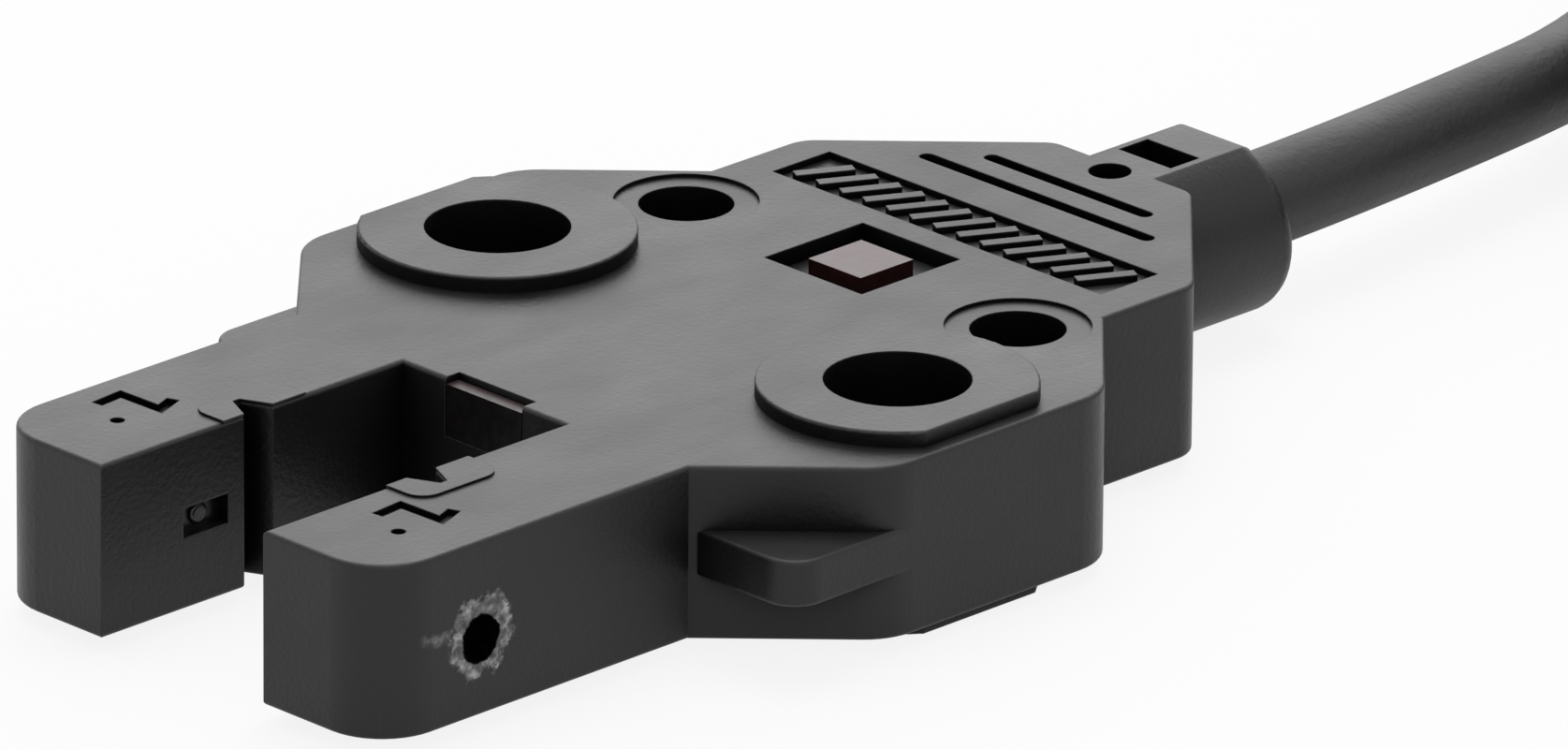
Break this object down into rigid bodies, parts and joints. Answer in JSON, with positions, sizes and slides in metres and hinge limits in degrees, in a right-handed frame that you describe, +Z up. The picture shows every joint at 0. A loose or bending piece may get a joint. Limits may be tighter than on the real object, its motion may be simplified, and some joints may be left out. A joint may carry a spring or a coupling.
{
  "type": "photoelectric fork sensor",
  "caption": "Small slotted photoelectric sensor with a fork of two optical arms, mounting ears and a round cable that is wound in a coil.",
  "frame": {"origin": "midway between the two mounting holes, on the plane of the lower bosses that the sensor is screwed down on", "axes": "+Z up along the mounting holes, +Y from the fork towards the cable, +X across the ears"},
  "size_m": [0.0352, 0.0795, 0.0072],
  "materials": {
    "case_plastic": "fine moulded grain, satin",
    "cover_plastic": "fine moulded grain, satin",
    "guide_plastic": "dark red, clear",
    "window_plastic": "smoked, lets infrared through",
    "emitter_epoxy": "clear, bluish",
    "receiver_epoxy": "dark, lets infrared through",
    "lead_metal": "tinned",
    "board_laminate": "green solder mask",
    "chip_epoxy": "moulded epoxy",
    "indicator_epoxy": "tinted, clear",
    "resistor_ceramic": "glazed black on white ceramic",
    "capacitor_ceramic": "fired ceramic",
    "solder": "bright solder",
    "crimp_metal": "pressed",
    "sheath_vinyl": "soft vinyl, satin",
    "tie_nylon": "nylon",
    "brown_insulation": "soft vinyl",
    "black_insulation": "soft vinyl",
    "blue_insulation": "soft vinyl",
    "pink_insulation": "soft vinyl"
  },
  "bodies": {
    "root": {"case": "case_plastic", "base_cover": "cover_plastic", "light_guide": "guide_plastic", "emitter_window": "window_plastic", "receiver_window": "window_plastic", "emitter_package": "emitter_epoxy", "receiver_package": "receiver_epoxy", "emitter_leads": "lead_metal", "receiver_leads": "lead_metal", "circuit_board": "board_laminate", "control_chip": "chip_epoxy", "output_transistor": "chip_epoxy", "indicator_led": "indicator_epoxy", "chip_resistors": "resistor_ceramic", "chip_capacitors": "capacitor_ceramic", "solder_joints": "solder", "cable_crimp": "crimp_metal", "cable": "sheath_vinyl", "cable_coil": "sheath_vinyl", "coil_tie": "tie_nylon", "tinned_ends": "solder", "brown_core": "brown_insulation", "brown_wire_end": "brown_insulation", "black_core": "black_insulation", "black_wire_end": "black_insulation", "blue_core": "blue_insulation", "blue_wire_end": "blue_insulation", "pink_core": "pink_insulation", "pink_wire_end": "pink_insulation"}
  },
  "joints": []
}
